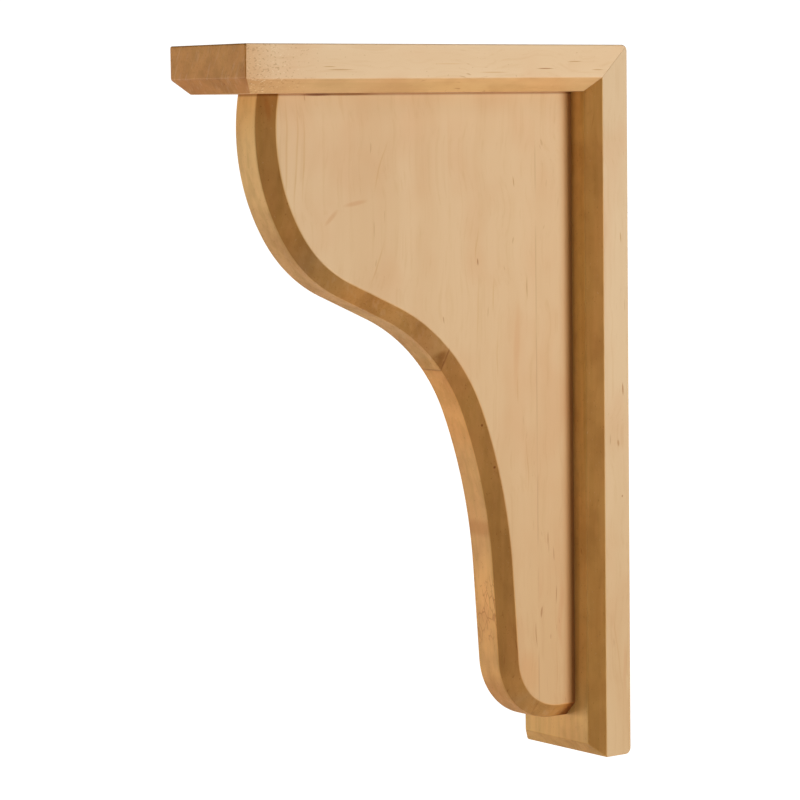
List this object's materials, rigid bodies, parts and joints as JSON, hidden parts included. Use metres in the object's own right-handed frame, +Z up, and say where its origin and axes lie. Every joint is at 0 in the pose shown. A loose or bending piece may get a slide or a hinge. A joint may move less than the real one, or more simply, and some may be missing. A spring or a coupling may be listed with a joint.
{
  "type": "wooden corbel bracket",
  "caption": "Wooden corbel bracket: top board mitred to a back board, with a chamfered S-curved scroll bracing the corner, to fix to a wall under a shelf or counter.",
  "frame": {"origin": "centre of the back board's wall face, which lies in the plane Y = 0", "axes": "+Z up, +Y into the wall, the front faces -Y, X across the bracket"},
  "size_m": [0.054, 0.196, 0.305],
  "materials": {
    "board_wood": "planed and sanded, unfinished",
    "scroll_wood": "planed and sanded, unfinished"
  },
  "bodies": {
    "root": {"top_board": "board_wood", "back_board": "board_wood", "scroll_front_stave": "scroll_wood", "scroll_middle_stave": "scroll_wood", "scroll_rear_stave": "scroll_wood"}
  },
  "joints": []
}
